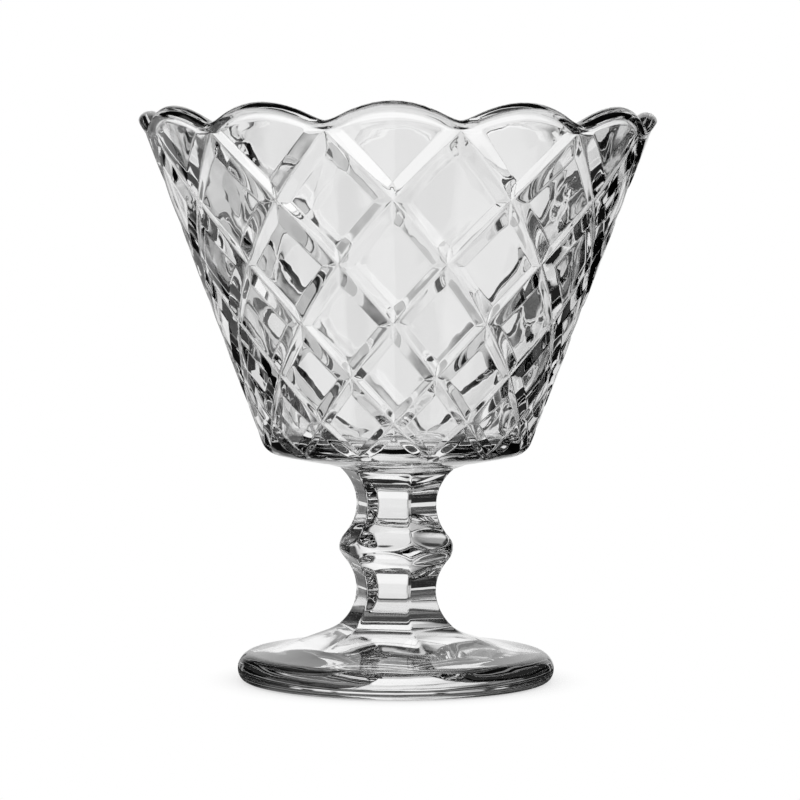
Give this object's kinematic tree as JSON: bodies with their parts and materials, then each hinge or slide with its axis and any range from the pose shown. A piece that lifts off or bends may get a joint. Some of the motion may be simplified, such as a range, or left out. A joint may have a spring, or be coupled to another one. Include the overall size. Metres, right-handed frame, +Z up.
{
  "type": "parfait glass",
  "caption": "Clear pressed glass dessert goblet with a conical scalloped bowl cut with a diamond lattice, a six-sided stem with a round knop and a round foot.",
  "frame": {"origin": "on the table, under the middle of the foot", "axes": "+Z up along the axis of the glass; -Y faces the viewer, through the tip of a scallop"},
  "size_m": [0.109, 0.109, 0.12],
  "materials": {
    "glass": "clear, fire-polished"
  },
  "bodies": {
    "root": {"bowl": "glass", "stem": "glass", "foot": "glass"}
  },
  "joints": []
}
